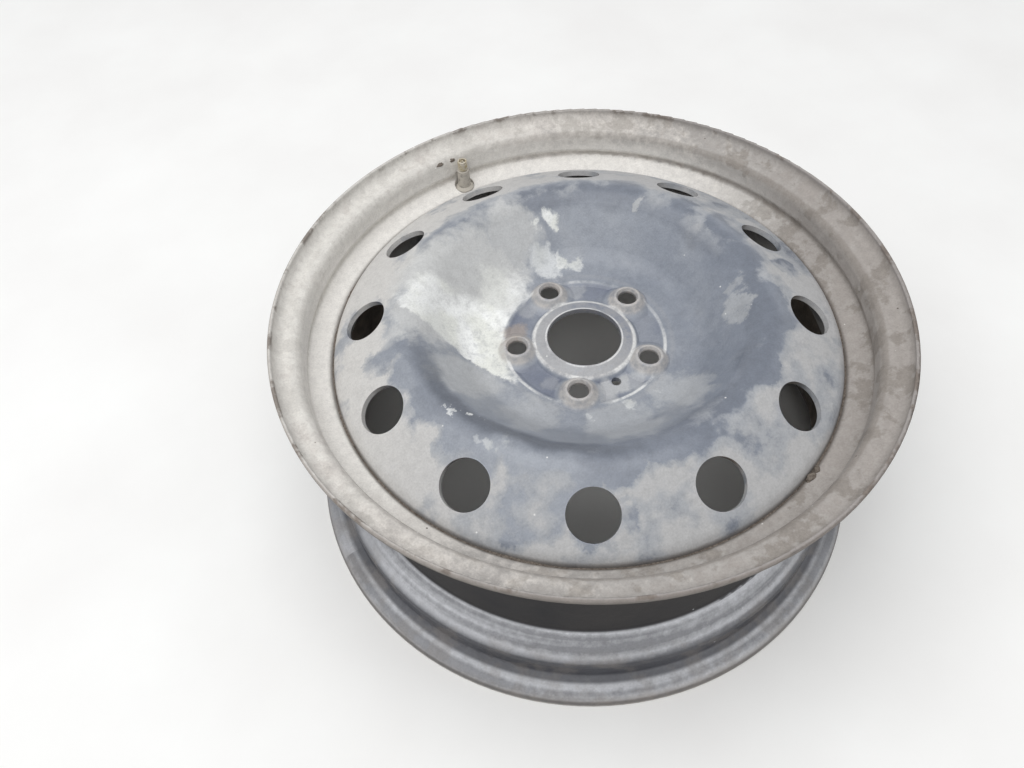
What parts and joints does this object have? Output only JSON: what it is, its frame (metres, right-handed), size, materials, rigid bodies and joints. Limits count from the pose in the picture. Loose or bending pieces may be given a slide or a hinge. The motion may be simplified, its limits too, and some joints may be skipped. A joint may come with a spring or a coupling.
{
  "type": "steel wheel",
  "caption": "Pressed steel car wheel: rolled drop-centre rim with a welded, dished disc, round vent holes, coned nut seats, a centre bore and a rubber snap-in tyre valve.",
  "frame": {"origin": "centre of the hub face, on the wheel's axis, where the wheel meets the car's hub", "axes": "+Z along the wheel's axis to the outer side, up as it lies; +Y towards the tyre valve"},
  "size_m": [0.4402, 0.4401, 0.19],
  "materials": {
    "rim_paint": "worn paint with dust and rust",
    "disc_paint": "worn paint with dust",
    "weld_steel": "painted weld",
    "valve_rubber": "matt, dusty",
    "valve_brass": "dull",
    "seal_rubber": "matt",
    "spring_steel": "bright"
  },
  "bodies": {
    "wheel": {"rim": "rim_paint", "disc": "disc_paint", "weld_beads": "weld_steel", "valve_body": "valve_rubber", "valve_stem": "valve_brass", "core_plug": "valve_brass", "core_barrel": "valve_brass", "core_gasket": "seal_rubber", "core_spring": "spring_steel"},
    "valve_pin": {"core_pin": "valve_brass", "core_cup": "valve_brass", "cup_seal": "seal_rubber"}
  },
  "joints": [
    {"name": "valve_pin_press", "type": "slide", "parent": "wheel", "child": "valve_pin", "axis": [0, 0, -1], "range_m": [0, 0.0012], "stiffness_N_per_m": 800, "deforming": ["core_spring"]}
  ]
}
